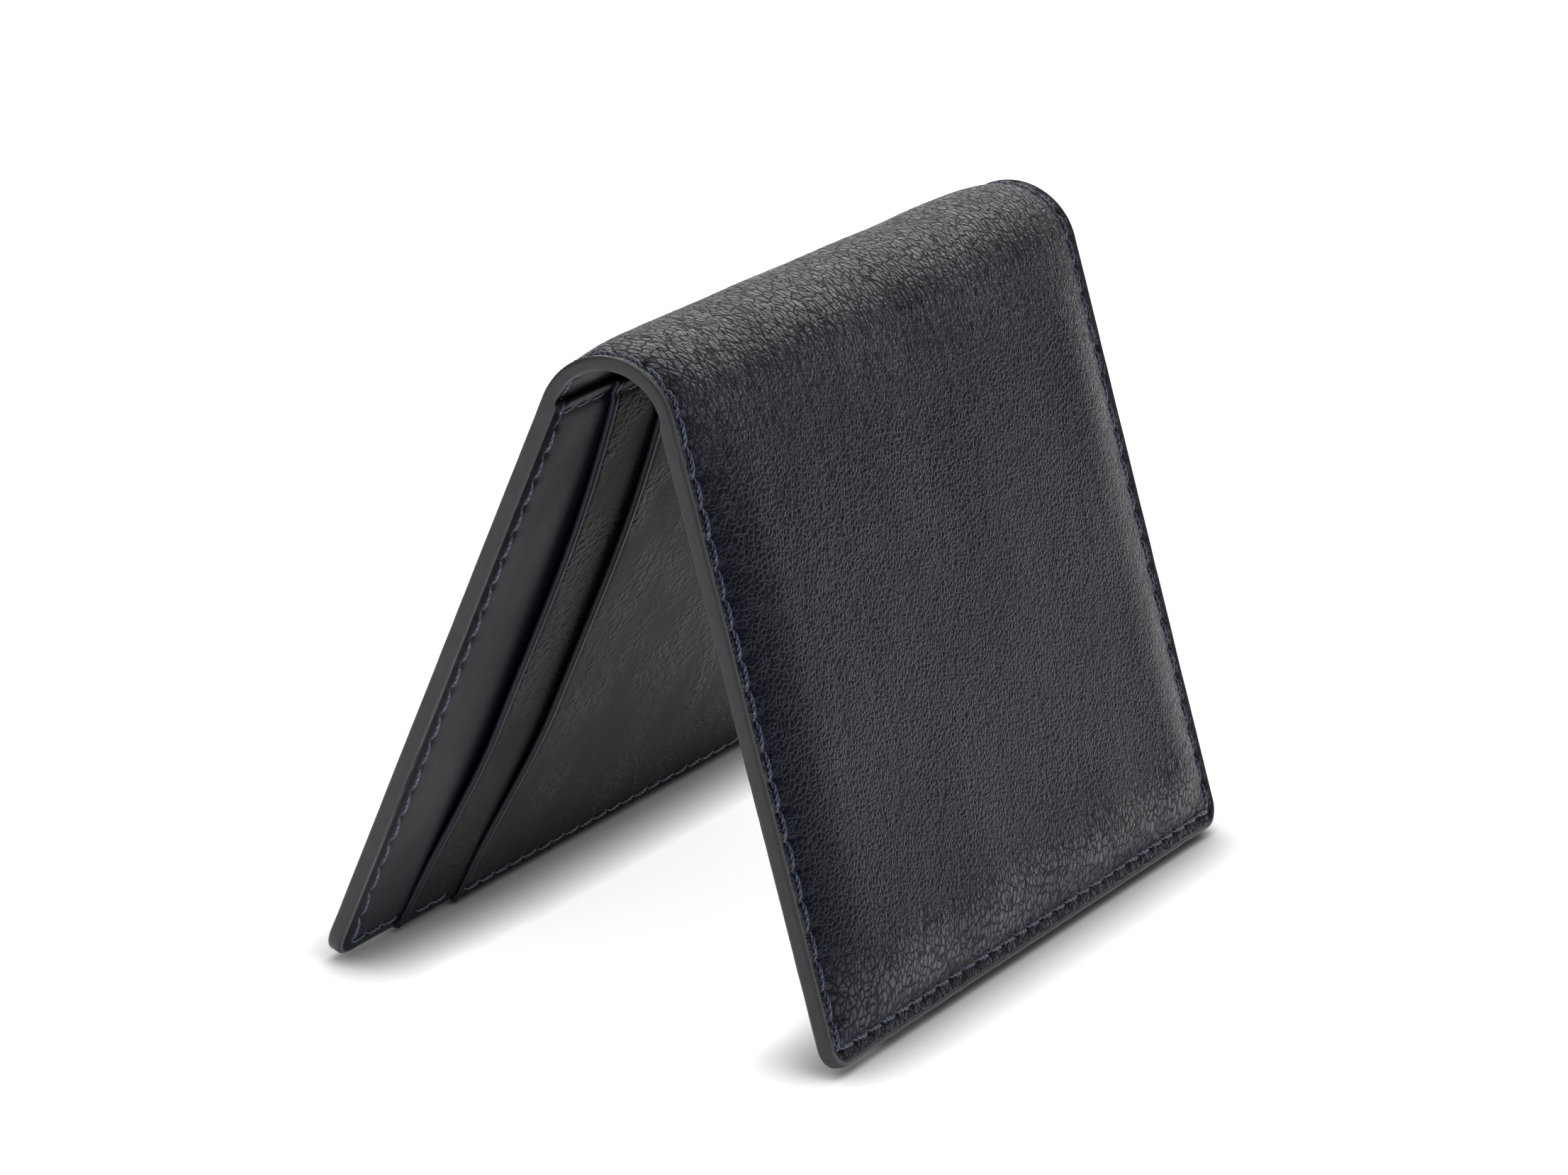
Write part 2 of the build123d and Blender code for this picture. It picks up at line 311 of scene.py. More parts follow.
def slab(name, s, y, face, back, material, every=10, mark=None, sharp=sharp_angle):
    """A closed sheet of leather with a detailed face and a plainer back.

    s, y, face and back are grids. The back keeps all the rows, but of the columns only the
    last and one in "every".
    """
    rows, columns = s.shape
    kept = sorted(set(range(0, columns, every)) | {columns - 1})
    front_points = place(s, y, face).reshape(-1, 3)
    back_points = place(s[:, kept], y[:, kept], back[:, kept]).reshape(-1, 3)
    n, m = len(front_points), len(kept)
    faces = []
    for i in range(rows - 1):
        top = i * columns
        faces += [
            (top + j, top + j + 1, top + j + 1 + columns, top + j + columns)
            for j in range(columns - 1)
        ]
        low = n + i * m
        faces += [(low + k, low + k + m, low + k + m + 1, low + k + 1) for k in range(m - 1)]
        faces.append((top, top + columns, low + m, low))
        last = top + columns - 1
        faces.append((last, low + m - 1, low + 2 * m - 1, last + columns))
    for top, low, turn in ((0, n, 1), ((rows - 1) * columns, n + (rows - 1) * m, -1)):
        for k in range(m - 1):
            edge = [top + j for j in range(kept[k], kept[k + 1] + 1)]
            faces.append(tuple(([low + k] + edge + [low + k + 1])[::turn]))
    grain = np.zeros((n + rows * m, 3))
    grain[:n, 0], grain[:n, 1] = s.ravel(), y.ravel()
    grain[n:, 0], grain[n:, 1] = s[:, kept].ravel(), y[:, kept].ravel()
    points = np.concatenate([front_points, back_points])
    marks = np.zeros(len(points))
    if mark is not None:
        marks[:n] = mark.ravel()
    return new_piece(name, points, faces, material, grain, marks, sharp)


def tube(name, rings, material, grain, mark):
    """A closed mesh from a list of ring grids, each rings by points round by 3."""
    points, faces, start = [], [], 0
    for grid in rings:
        count, around = grid.shape[:2]
        for i in range(count - 1):
            row = start + i * around
            following = row + around
            faces += [
                (row + j, row + (j + 1) % around, following + (j + 1) % around, following + j)
                for j in range(around)
            ]
        faces.append(tuple(range(start + around - 1, start - 1, -1)))
        end = start + (count - 1) * around
        faces.append(tuple(range(end, end + around)))
        points.append(grid.reshape(-1, 3))
        start += count * around
    return new_piece(name, np.concatenate(points), faces, material, grain, mark, sharp_angle)


# ---------------------------------------------------------------- the outer leather


def side_width(s):
    """Half the width of the painted outline at s: less round the foot's corners."""
    into_corner = np.clip(np.abs(s) - (reach - corner_radius), 0, corner_radius)
    return half_fold - corner_radius + np.sqrt(corner_radius ** 2 - into_corner ** 2)


def edge_distance(s, y):
    """How far a place is from the wallet's painted outline."""
    foot = reach - np.abs(s)
    side = half_fold - np.abs(y)
    from_corner = np.hypot(
        np.maximum(corner_radius - foot, 0), np.maximum(corner_radius - side, 0)
    )
    return np.minimum(np.minimum(foot, side), corner_radius - from_corner)


def to_hole(s, y, along_side):
    """How far a place is, along a side seam or the foot seam, from the nearest hole."""
    if not along_side:
        steps = (y + seam_y) / foot_pitch
        return np.abs(steps - np.round(steps)) * foot_pitch
    far = np.abs(s) - half_bend
    steps = np.where(far > 0, far / side_pitch, far / bend_pitch)
    return np.abs(steps - np.round(steps)) * np.where(far > 0, side_pitch, bend_pitch)


def drawn_in(away, hole, pull, pull_added_at_hole):
    """The depth of a seam's groove, and of the wider pull round it, this far from the seam."""
    groove = (groove_depth + groove_added_at_hole * hole) * bump(away, groove_width)
    return groove + (pull + pull_added_at_hole * hole) * bump(away, pull_width)


def seam_pull(s, y, side_seams=(-1, 1)):
    """How far the seam draws the leather in: a groove, deeper and wider at each hole."""
    foot = reach - np.abs(s)
    total = np.zeros(np.broadcast(s, y).shape)
    for seam in side_seams:
        hole = bump(to_hole(s, y, True), hole_spread)
        here = ease((foot - seam_margin) / seam_fade + 1)
        drawn = drawn_in(y - seam * seam_y, hole, side_pull, side_pull_added_at_hole)
        total = np.maximum(total, here * drawn)
    hole = bump(to_hole(s, y, False), hole_spread)
    here = ease((half_fold - np.abs(y) - seam_margin) / seam_fade + 1)
    drawn = drawn_in(foot - seam_margin, hole, foot_pull, foot_pull_added_at_hole)
    return np.maximum(total, here * drawn)


def rise(x, width):
    """How far the leather has risen to its crown, x inside the seam."""
    return 1 - (1 - np.clip(x / width, 0, 1)) ** 2.2


def cover_depth(s, y):
    """The outer leather: crowned inside the seam, creased, and drawn down along the seam."""
    foot = reach - np.abs(s)
    side = half_fold - np.abs(y)
    inside = rise(side - seam_margin, side_crown_width)
    inside = inside * rise(foot - seam_margin, foot_crown_width)
    ridge = bump(s, 16.0)
    by_foot = bump(foot - 6, 7.0)
    swell = inside * crown * (1 - crown_lost_on_ridge * ridge + crown_added_by_foot * by_foot)
    wave = wave_height + wave_added_by_foot * by_foot
    swell += inside * wave * noise(s / 15 + 3, y / 11, 11)
    fold_lines = creases(s / 7.5, y / 1.9, 21, 0.16) * (0.35 + 0.65 * ridge)
    long_lines = creases(s / 9 + y / 15, y / 6 - s / 30, 31, 0.07) * ease((np.abs(s) - 30) / 25)
    lines = fold_line_depth * fold_lines + long_line_depth * long_lines
    lines = lines * (0.25 + 0.75 * inside)
    rim_lines = rim_line_depth * creases((s + y) / 2.2, (s - y) / 3.6, 41, 0.22) * (1 - inside)
    shoulder = shoulder_drop * (1 - np.clip(edge_distance(s, y) / shoulder_width, 0, 1)) ** 2
    return seam_pull(s, y) - swell + lines + rim_lines + shoulder


def openness(s, y):
    """How open the grain is, which also places the painted sheen: 1 over the ridge and by the foot and far seams,
    0 in mid panel.
    """
    foot = reach - np.abs(s)
    far_side = np.maximum(half_fold - y, 0)
    edges = np.maximum(0.7 * bump(np.maximum(far_side - 2, 0), 7.0), bump(foot - 5, 7.5))
    opened = np.maximum(bump(s, 18.0), edges)
    return np.clip(opened * (1 + 0.2 * noise(s / 13 + 2, y / 10, 15)), 0, 1)


def panel_rows(side, start, step):
    """Places s from start, on the bend, to the foot of a panel, close together at its corners."""
    end = reach - paint_inset
    radius = corner_radius - paint_inset
    down = np.arange(start, end - radius - 1.5, step)
    seam = np.arange(end - radius - 1.5, end - radius, 0.2)
    round_corner = end - radius + radius * np.sin(np.linspace(0, pi / 2, 16))
    return side * np.concatenate([down, seam, round_corner])


def outline_grid(rows, columns):
    """Grids of s and y whose outer columns follow the outline round the corners."""
    s, y = np.meshgrid(rows, columns, indexing="ij")
    limit = side_width(np.sign(s) * np.minimum(np.abs(s) + paint_inset, reach)) - paint_inset
    inner = half_fold - outline_zone
    share = (limit - inner) / (half_fold - paint_inset - inner)
    outside = np.abs(y) > inner
    squeezed = np.sign(y) * (inner + (np.abs(y) - inner) * share)
    return s, np.where(outside, squeezed, y)


def make_cover(material):
    """The outer leather in three pieces: one for each panel and one over the middle of the ridge."""
    edge = half_fold - paint_inset
    columns = graded(-edge, edge, fine=0.19, coarse=0.36, low_zone=5.0, high_zone=5.0)
    for side, name in SIDES.items():
        rows = panel_rows(side, strip_arc / 2, 0.36)
        s, y = outline_grid(rows, columns)
        back = np.full(s.shape, filler_face - board_clearance)
        face = cover_depth(s, y)
        piece = slab(f"{name}_cover", s, y, face, back, material, mark=openness(s, y))
        finish_bending(piece, side, "shell_leather", f"{name}_shell")
    rows = np.linspace(-strip_arc / 2 - ridge_lap, strip_arc / 2 + ridge_lap, 23)
    s, y = outline_grid(rows, columns)
    sunk = ridge_lap_sunk * (np.abs(s) > strip_arc / 2)
    back = np.full(s.shape, filler_face - board_clearance)
    face = cover_depth(s, y) + sunk
    piece = slab("ridge_cover", s, y, face, back, material, mark=openness(s, y))
    finish_bending(piece, 0, "shell_leather", "spine_shell_1", "spine_shell_2")


def finish_bending(piece, side, slot, *nodes):
    """Bakes a piece's place into its points and hides the CAD nodes it takes the place of."""
    middle = side * strip_arc
    start, end = (
        place(middle + k * strip_arc / 2, 0, lining_face).tolist() for k in (-1, 1)
    )
    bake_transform(piece)
    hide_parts(*nodes)


# ---------------------------------------------------------------- the lining


def lining_depth(s, y):
    """The lining: smooth, with soft compression creases along the inside of the bend."""
    bend = ease((half_bend - np.abs(s)) / 2 + 0.5)
    folds = creases(s / 1.6, y / 11, 51, 0.3)
    pull = seam_pull(s, y) * bend
    wave = lining_wave * bend * noise(s / 4, y / 9, 52)
    return lining_face - lining_pull * pull - lining_fold_height * folds * bend + wave


def make_lining(material):
    """The lining in three pieces, like the cover."""
    edge = half_fold - paint_inset
    columns = graded(-edge, edge, fine=0.3, coarse=0.8, low_zone=5.0, high_zone=5.0)
    for side, name in SIDES.items():
        bend_rows = np.arange(strip_arc / 2, half_bend + 2, 0.3)
        rows = side * np.concatenate([bend_rows, np.linspace(half_bend + 3, reach - 4, 20)])
        s, y = np.meshgrid(rows, columns, indexing="ij")
        back = np.full(s.shape, filler_back + board_clearance)
        piece = slab(f"{name}_inside_lining", s, y, lining_depth(s, y), back, material)
        finish_bending(piece, side, "lining_leather", f"{name}_lining")
    rows = np.linspace(-strip_arc / 2 - ridge_lap, strip_arc / 2 + ridge_lap, 25)
    s, y = np.meshgrid(rows, columns, indexing="ij")
    sunk = ridge_lap_sunk * (np.abs(s) > strip_arc / 2)
    back = np.full(s.shape, filler_back + board_clearance)
    piece = slab("ridge_lining", s, y, lining_depth(s, y) - sunk, back, material)
    finish_bending(piece, 0, "lining_leather", "spine_lining_1", "spine_lining_2")


# ---------------------------------------------------------------- the painted edges


def edge_thickness(s, y):
    """The thickness of the stack of leather at a place on the outline."""
    on_panel = ease((np.abs(s) - half_bend) / thickness_step)
    stack = base_face - lining_face - rim_dip
    for mouth in (first_mouth, second_mouth):
        stack = stack + pocket_thickness * ease((y - mouth) / thickness_step)
    return lining_face + on_panel * stack


def paint_profile(thickness):
    """The painted bead across the edge, as inset and depth: it laps a little over the leather."""
    turn = np.linspace(0, pi / 2, 6)
    turn_inset = (paint_shoulder * (1 - np.sin(turn))).tolist()
    turn_depth = (paint_shoulder * (1 - np.cos(turn)) - paint_proud).tolist()
    lap = [paint_lap, paint_lap_start]
    inset = lap + turn_inset + turn_inset[::-1] + lap[::-1]
    depth = [paint_lap_depth, paint_lap_start_depth] + turn_depth
    count = len(thickness)
    upper = np.tile(depth, (count, 1))
    lower = thickness[:, None] - upper[:, ::-1]
    return np.tile(inset, (count, 1)), np.concatenate([upper, lower], axis=1)


def paint_rings(s, y, out_s, out_y):
    """Rings of the painted bead along a path on the outline, with its outward direction."""
    inset, depth = paint_profile(edge_thickness(s, y))
    waver = paint_waver * noise((s + 2 * y) / 2.7, s * 0 + 3, 61)[:, None]
    inset = inset + waver
    return place(
        s[:, None] - inset * out_s[:, None], y[:, None] - inset * out_y[:, None], depth
    )


def panel_path(side):
    """The outline round one panel, from the near end of the bend to the far one."""
    straight = np.arange(strip_arc / 2, reach - corner_radius, 0.4)
    near_turn = np.linspace(0, pi / 2, 14)
    foot = np.arange(-half_fold + corner_radius, half_fold - corner_radius, 0.25)[1:]
    s = np.concatenate([
        straight,
        reach - corner_radius + corner_radius * np.sin(near_turn),
        np.full(len(foot), reach),
        reach - corner_radius + corner_radius * np.cos(near_turn),
        straight[::-1],
    ])
    corner_y = half_fold - corner_radius
    y = np.concatenate([
        np.full(len(straight), -half_fold),
        -corner_y - corner_radius * np.cos(near_turn),
        foot,
        corner_y + corner_radius * np.sin(near_turn),
        np.full(len(straight), half_fold),
    ])
    out_s = np.clip((s - (reach - corner_radius)) / corner_radius, 0, 1)
    out_y = np.clip((np.abs(y) - corner_y) / corner_radius, 0, 1) * np.sign(y)
    return side * s, y, side * out_s, out_y


def make_edges(material):
    """The painted edges: one round each panel, and one at each end of the ridge."""
    for side, name in SIDES.items():
        path = panel_path(side)
        rings = paint_rings(*path)
        grain, shoulders = ring_texture(path[0], path[1], rings)
        piece = tube(f"{name}_painted_edge", [rings], material, grain, shoulders)
        finish_bending(piece, side, "edge_paint", f"{name}_edge_paint")
    s = np.linspace(-strip_arc / 2 - paint_ridge_lap, strip_arc / 2 + paint_ridge_lap, 20)
    bars, textures = [], []
    for end in (-1, 1):
        y = np.full(len(s), end * half_fold)
        bars.append(paint_rings(s, y, s * 0, np.sign(y)))
        textures.append(ring_texture(s, y, bars[-1]))
    grain, shoulders = (np.concatenate(part) for part in zip(*textures))
    piece = tube("ridge_painted_edge", bars, material, grain, shoulders)
    finish_bending(piece, 0, "edge_paint", "spine_edge_paint_1", "spine_edge_paint_2")


def ring_texture(s, y, rings):
    """A bead's texture place, from its path and the way round, and where its shoulders are."""
    count, around = rings.shape[:2]
    grain = np.zeros((count, around, 3))
    grain[..., 0] = s[:, None] + 3 * y[:, None]
    grain[..., 1] = np.linspace(0, 3, around)[None, :]
    ring = np.arange(around)
    shoulders = np.maximum(bump(ring - 3.0, 1.2), bump(ring - (around - 4.0), 1.2))
    return grain.reshape(-1, 3), np.tile(shoulders, count)


# ---------------------------------------------------------------- the pockets


def slack(s):
    """The slack along a pocket's mouth: none at its two sewn ends, and even between them."""
    height = reach - np.abs(s)
    by_fold = np.clip((flat_length - fold_slack_end - height) / fold_slack_run, 0, 1)
    by_foot = ease((height - foot_slack_end) / foot_slack_run)
    return by_foot * np.sin(pi / 2 * by_fold) ** 0.9


def mouth_line(s, mouth):
    """Where a mouth runs, as y: its slack lets it bow away from the near edge."""
    return mouth + mouth_bow * slack(s)


def inner_pull(s, y, side_seams):
    """How far the seam, and the hem at the fold side, draw the inner leather down."""
    hem = np.abs(s) - half_bend - hem_margin
    by_hem = hem_groove_depth * bump(hem, hem_groove_width) + hem_pull * bump(hem, hem_pull_width)
    return np.maximum(inner_pull_share * seam_pull(s, y, side_seams), by_hem)


def end_round(s):
    """The rounding of a layer's cut end at the fold side."""
    from_end = (np.abs(s) - half_bend) / cut_end_width
    return cut_end_drop * (1 - np.clip(from_end, 0, 1)) ** 2


def mouth_round(away):
    """The rolled edge of a pocket's mouth and the crease pressed beside it."""
    edge = pocket_thickness * mouth_roll * (1 - np.clip(away / mouth_roll_width, 0, 1)) ** 2
    return edge + mouth_groove_depth * bump(away - mouth_groove, mouth_groove_width)


def mouth_wear_and_highlight(away):
    """How a mouth is worn and where its painted highlight goes: 1 at its very edge, where a highlight is painted,
    0.6 on its worn lip, and -1 in the crease beside it.
    """
    lip = 0.6 * (1 - ease((away - lip_width) / 0.15)) + 0.4 * bump(away, 0.2)
    return lip - bump(away - lip_crease, lip_crease_width)


def rim_round(s, y):
    """How far the inner leathers are pressed down beside the painted edge."""
    return rim_dip * (1 - ease((edge_distance(s, y) - rim_dip_width) / rim_dip_fade))


def base_depth(s, y):
    """The inner face of the panel that the pockets are sewn to."""
    soft = base_wave * noise(s / 12, y / 7, 71)
    return base_face + soft - inner_pull(s, y, (-1,)) - end_round(s) - rim_round(s, y)


def first_depth(s, y, rolled=True):
    """The face of the first pocket, lifted towards its mouth."""
    away = y - mouth_line(s, first_mouth)
    lift = first_gape * slack(s) * np.exp(-np.maximum(away, 0) / first_gape_reach)
    face = first_face + lift + pocket_wave * noise(s / 11, y / 8, 72)
    if rolled:
        face = face - mouth_round(away)
    return face - inner_pull(s, y, ()) - end_round(s) - rim_round(s, y)


def second_depth(s, y, rolled=True):
    """The face of the second pocket, on top of the first."""
    away = y - mouth_line(s, second_mouth)
    lift = second_gape * slack(s) * np.exp(-np.maximum(away, 0) / second_gape_reach)
    face = first_depth(s, y, False) + pocket_thickness + lift
    if rolled:
        face = face - mouth_round(away)
    return face - far_seam_pull_share * seam_pull(s, y, (1,)) * bump(y - seam_y, 4.0)


def make_pockets(smooth, grained):
    """The three inner leathers of each panel: a smooth base and two grained pockets.

    Each layer has its face, its near edge, a flat back's depth, and the zone of close columns.
    """
    near_side = -half_fold + paint_inset
    far = half_fold - paint_inset
    layers = {
        "base_panel": (base_depth, near_side, lining_face + base_panel_lap, 15.0),
        "first_pocket": (first_depth, first_mouth, None, 14.0),
        "second_pocket": (second_depth, second_mouth, None, None),
    }
    for side, name in SIDES.items():
        for layer, (depth, near, flat_back, zone) in layers.items():
            coarse = 2.0 if zone else 0.5
            columns = graded(near, far, fine=0.12, coarse=coarse, low_zone=1.5, high_zone=4.0)
            if zone:
                detailed = np.arange(near + 1.5, near + zone, 0.33)
                columns = np.unique(np.round(np.concatenate([columns, detailed]), 4))
            rows = panel_rows(side, half_bend + pocket_start, 0.4)
            ends = side * (half_bend + np.array([0.08, 0.16, 0.26]))
            rows = side * np.sort(np.abs(np.concatenate([rows, ends])))
            s, y = outline_grid(rows, columns)
            if flat_back:
                back = np.full(s.shape, flat_back)
                wear_and_highlight = np.zeros(s.shape)
                material = smooth
            else:
                y = y + mouth_bow * slack(s) * ((far - y) / (far - near)) ** 4
                back = depth(s, y, False) - pocket_thickness
                # The mark gives the lip's wear and where a highlight is painted along its edge.
                wear_and_highlight = mouth_wear_and_highlight(y - mouth_line(s, near))
                material = grained
            face = depth(s, y)
            piece = slab(
                f"{name}_{layer}_leather", s, y, face, back, material,
                every=6, mark=wear_and_highlight, sharp=pocket_sharp_angle,
            )
            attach(piece, f"{name}_panel")
            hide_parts(f"{name}_{layer}")


# ---------------------------------------------------------------- the thread


def stitch_rings(starts, ends, surface, outward, seed):
    """Rings of plied thread for stitches between pairs of holes, dipping into each hole.

    surface gives the leather's depth, and outward is -1 on the outer face, 1 on the inner.
    Each stitch lies, turns and takes its texture a little differently from the next.
    """
    along = np.linspace(0, 1, stitch_steps)
    around = np.linspace(0, 2 * pi, ring_points + 1)[:-1]
    starts, ends = np.array(starts), np.array(ends)
    length = np.linalg.norm(ends - starts, axis=1)
    direction = (ends - starts) / length[:, None]
    across = np.stack([-direction[:, 1], direction[:, 0]], axis=1)
    rng = np.random.default_rng(seed)
    slant = stitch_slant * (1 + slant_spread * rng.uniform(-1, 1, len(starts)))
    shift = (0.5 - along)[None, :] * 2 * slant[:, None]
    line = starts[:, None] + along[None, :, None] * (ends - starts)[:, None]
    line = line + shift[..., None] * across[:, None]
    middle = (starts + ends) / 2
    level = surface(middle[:, 0], middle[:, 1])[:, None]
    dip = np.abs(2 * along - 1) ** hole_dip_power
    loose = loose_spread * rng.uniform(-1, 1, (len(starts), 1))
    proud = outer_thread_proud if outward < 0 else 0.0
    depth = level + outward * (proud + loose - hole_dip * dip[None, :])
    centre = place(line[..., 0], line[..., 1], depth)
    above = place(line[..., 0], line[..., 1], depth - 1) - centre
    tangent = np.gradient(centre, axis=1)
    side = np.cross(tangent, above)
    side /= np.linalg.norm(side, axis=-1, keepdims=True)
    normal = np.cross(side, tangent)
    normal /= np.linalg.norm(normal, axis=-1, keepdims=True)
    turn = 2 * pi * along[None, :] * length[:, None] / twist_pitch
    turn = turn + rng.uniform(0, 2 * pi, (len(starts), 1))
    strand = np.cos(plies * (around[None, None, :] - turn[..., None]))
    thickness = thread_radius if outward < 0 else inner_thread_share * thread_radius
    radius = thickness * (ply_core + ply_height * strand[..., None]) * MM
    up, out = np.cos(around)[:, None], np.sin(around)[:, None]
    ring = up * normal[:, :, None] + out * side[:, :, None]
    grain = np.zeros(ring.shape)
    grain[..., 0] = (along[None, :] * length[:, None])[..., None] + 7.3 * middle[:, :1, None]
    grain[..., 1] = middle[:, 1][:, None, None] * 5.1
    grain[..., 2] = dip[None, :, None]
    return list(centre[:, :, None] + radius * ring), grain.reshape(-1, 3), strand.ravel()


def side_holes(side, seam, low, high):
    """The holes of a side seam whose stitches have their middles from s = low to s = high."""
    bend = [bend_pitch * k for k in range(bend_stitches // 2)]
    straight = [half_bend + side_pitch * k for k in range(side_stitches + 1)]
    half = np.array(bend + straight)
    holes = np.concatenate([-half[:0:-1], half])
    middles = (holes[1:] + holes[:-1]) / 2
    kept = (middles > low) & (middles < high)
    y = np.full(kept.sum(), seam * seam_y)
    return np.stack([holes[:-1][kept], y], 1), np.stack([holes[1:][kept], y], 1)


def row_holes(height, side, near, far):
    """The holes of a row of stitches along the fold, at a height up one panel."""
    holes = -seam_y + foot_pitch * np.arange(foot_stitches + 1)
    kept = (holes[:-1] > near - 0.3) & (holes[1:] < far + 0.3)
    s = np.full(kept.sum(), side * (reach - height))
    return np.stack([s, holes[:-1][kept]], 1), np.stack([s, holes[1:][kept]], 1)


def inner_surface(s, y):
    """The depth of whichever leather faces inwards at a place."""
    over_first = y > mouth_line(s, first_mouth)
    over_second = y > mouth_line(s, second_mouth)
    depth = np.where(over_first, first_depth(s, y), base_depth(s, y))
    depth = np.where(over_second, second_depth(s, y), depth)
    return np.where(np.abs(s) > half_bend, depth, lining_depth(s, y))


def make_thread(name, groups, material, seed):
    """One piece of many stitches. A group is its starts, ends, surface and outward side."""
    rings, grains, strands = [], [], []
    for number, (starts, ends, surface, outward) in enumerate(groups):
        made, grain, strand = stitch_rings(starts, ends, surface, outward, seed + number)
        rings += made
        grains.append(grain)
        strands.append(strand)
    return tube(name, rings, material, np.concatenate(grains), np.concatenate(strands))


def make_stitches(material):
    """The seam's stitches outside and inside, and the hem that holds the pockets."""
    for side, name in SIDES.items():
        low, high = sorted((side * strip_arc / 2, side * reach))
        outer = [(*side_holes(side, seam, low, high), cover_depth, -1) for seam in (-1, 1)]
        outer.append((*row_holes(seam_margin, side, -half_fold, half_fold), cover_depth, -1))
        piece = make_thread(f"{name}_outer_seam", outer, material, 100 + side)
        finish_bending(piece, side, "thread", f"{name}_outer_stitches")
        inner = [(*side_holes(side, seam, low, high), inner_surface, 1) for seam in (-1, 1)]
        hem = []
        for near, far in ((-half_fold, first_mouth), (first_mouth, second_mouth),
                          (second_mouth, half_fold)):
            inner.append((*row_holes(seam_margin, side, near, far), inner_surface, 1))
            height = flat_length - hem_margin
            hem.append((*row_holes(height, side, near, far), inner_surface, 1))
        piece = make_thread(f"{name}_inner_seam", inner, material, 200 + side)
        finish_bending(piece, side, "thread", f"{name}_inner_stitches")
        piece = make_thread(f"{name}_hem", hem, material, 300 + side)
        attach(piece, f"{name}_panel")
        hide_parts(f"{name}_hem_stitches")
    ridge = []
    for seam in (-1, 1):
        holes = side_holes(0, seam, -strip_arc / 2, strip_arc / 2)
        ridge.append((*holes, cover_depth, -1))
        ridge.append((*holes, inner_surface, 1))
    piece = make_thread("ridge_seam", ridge, material, 400)
    finish_bending(piece, 0, "thread", "spine_stitches_1", "spine_stitches_2")


# ---------------------------------------------------------------- materials


class Graph:
    """A material's nodes, made one by one and joined as they are made."""

    def __init__(self, name):
        self.material = bpy.data.materials.new(name)
        self.material.use_nodes = True
        self.tree = self.material.node_tree
        self.tree.nodes.clear()

    def node(self, kind, inputs=None, **settings):
        """Adds a node, sets its properties, and sets or links its inputs."""
        node = self.tree.nodes.new(kind)
        for key, value in settings.items():
            setattr(node, key, value)
        for key, value in (inputs or {}).items():
            if isinstance(value, bpy.types.NodeSocket):
                self.tree.links.new(value, node.inputs[key])
            else:
                node.inputs[key].default_value = value
        return node

    def math(self, operation, a, b=0.0, c=0.0, clamp=False):
        """A Math node's result."""
        inputs = {0: a, 1: b, 2: c}
        node = self.node("ShaderNodeMath", inputs, operation=operation, use_clamp=clamp)
        return node.outputs[0]

    def ramp(self, value, low, high, start=0.0, end=1.0):
        """A value eased from start to end as it goes from low to high."""
        inputs = {"Value": value, "From Min": low, "From Max": high, "To Min": start,
                  "To Max": end}
        node = self.node("ShaderNodeMapRange", inputs, interpolation_type="SMOOTHSTEP")
        return node.outputs["Result"]

    def mix(self, share, a, b):
        """A mixed colour."""
        inputs = {0: share, 6: a, 7: b}
        return self.node("ShaderNodeMix", inputs, data_type="RGBA").outputs[2]

    def place(self, scale=(1.0, 1.0, 1.0), turn=0.0):
        """The texture place, in millimetres, turned and then stretched along s, y and round."""
        source = self.node("ShaderNodeAttribute", attribute_name="grain")
        inputs = {"Vector": source.outputs["Vector"], "Rotation": (0.0, 0.0, turn)}
        turned = self.node("ShaderNodeMapping", inputs).outputs["Vector"]
        inputs = {"Vector": turned, "Scale": scale}
        return self.node("ShaderNodeMapping", inputs).outputs["Vector"]

    def mark(self):
        """How worn or opened up the leather is, as its mesh says; it also places painted highlights, sheen and ply
        shade.
        """
        return self.node("ShaderNodeAttribute", attribute_name="mark").outputs["Fac"]

    def noise(self, vector, scale, detail=2.0, rough=0.5, distortion=0.0):
        """Noise from 0 to 1."""
        inputs = {"Vector": vector, "Scale": scale, "Detail": detail, "Roughness": rough,
                  "Distortion": distortion}
        return self.node("ShaderNodeTexNoise", inputs).outputs["Fac"]

    def wander(self, vector, scale, distance):
        """A place moved about by noise."""
        moved = self.node("ShaderNodeTexNoise", {"Vector": vector, "Scale": scale, "Detail": 2.0})
        inputs = {0: moved.outputs["Color"], 1: (0.5, 0.5, 0.5)}
        centred = self.node("ShaderNodeVectorMath", inputs, operation="SUBTRACT").outputs[0]
        inputs = {0: centred, "Scale": distance}
        scaled = self.node("ShaderNodeVectorMath", inputs, operation="SCALE").outputs[0]
        inputs = {0: vector, 1: scaled}
        return self.node("ShaderNodeVectorMath", inputs, operation="ADD").outputs[0]

    def cells(self, vector, scale):
        """The distance to the nearest edge between cells."""
        inputs = {"Vector": vector, "Scale": scale, "Randomness": 1.0}
        node = self.node("ShaderNodeTexVoronoi", inputs, feature="DISTANCE_TO_EDGE")
        return node.outputs["Distance"]

    def bump(self, height, depth_mm):
        """A normal from a height whose unit stands this many millimetres proud."""
        inputs = {"Height": height, "Distance": depth_mm * MM, "Strength": 1.0}
        return self.node("ShaderNodeBump", inputs).outputs["Normal"]

    def finish(self, colour, roughness, normal, **uniform):
        """The surface shader, with uniform values set on its own sockets."""
        inputs = {"Base Color": colour, "Roughness": roughness, "Normal": normal}
        inputs.update({key.replace("_", " "): value for key, value in uniform.items()})
        shader = self.node("ShaderNodeBsdfPrincipled", inputs)
        output = self.node("ShaderNodeOutputMaterial")
        self.tree.links.new(shader.outputs["BSDF"], output.inputs["Surface"])
        return self.material


def crease_line(g, distance, width):
    """1 on the line where a distance is nought, falling to 0 a width away."""
    return g.ramp(distance, 0.0, width, 1.0, 0.0)


